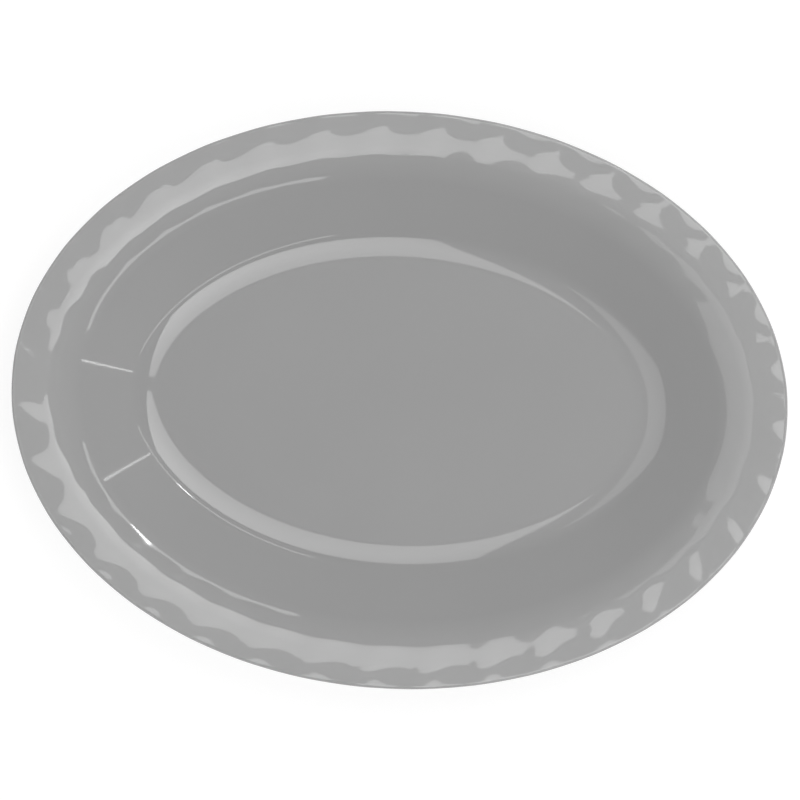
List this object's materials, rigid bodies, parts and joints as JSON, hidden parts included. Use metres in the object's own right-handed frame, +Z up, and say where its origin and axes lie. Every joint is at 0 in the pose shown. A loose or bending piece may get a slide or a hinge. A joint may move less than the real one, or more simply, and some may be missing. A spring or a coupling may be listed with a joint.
{
  "type": "oval serving platter",
  "caption": "Oval ceramic serving platter with a deep sloping well and a wide rim of shallow swirling flutes, glossy grey glaze all over except the foot ring.",
  "frame": {"origin": "centre of the plane that the foot ring stands on", "axes": "+X along the platter's length, +Y across it, +Z up out of the well"},
  "size_m": [0.406, 0.302, 0.0449],
  "materials": {
    "fired_clay": "bare fired stoneware, matt",
    "grey_glaze": "glossy glaze"
  },
  "bodies": {
    "root": {"clay_body": "fired_clay", "glaze_coat": "grey_glaze", "base_glaze": "grey_glaze"}
  },
  "joints": []
}
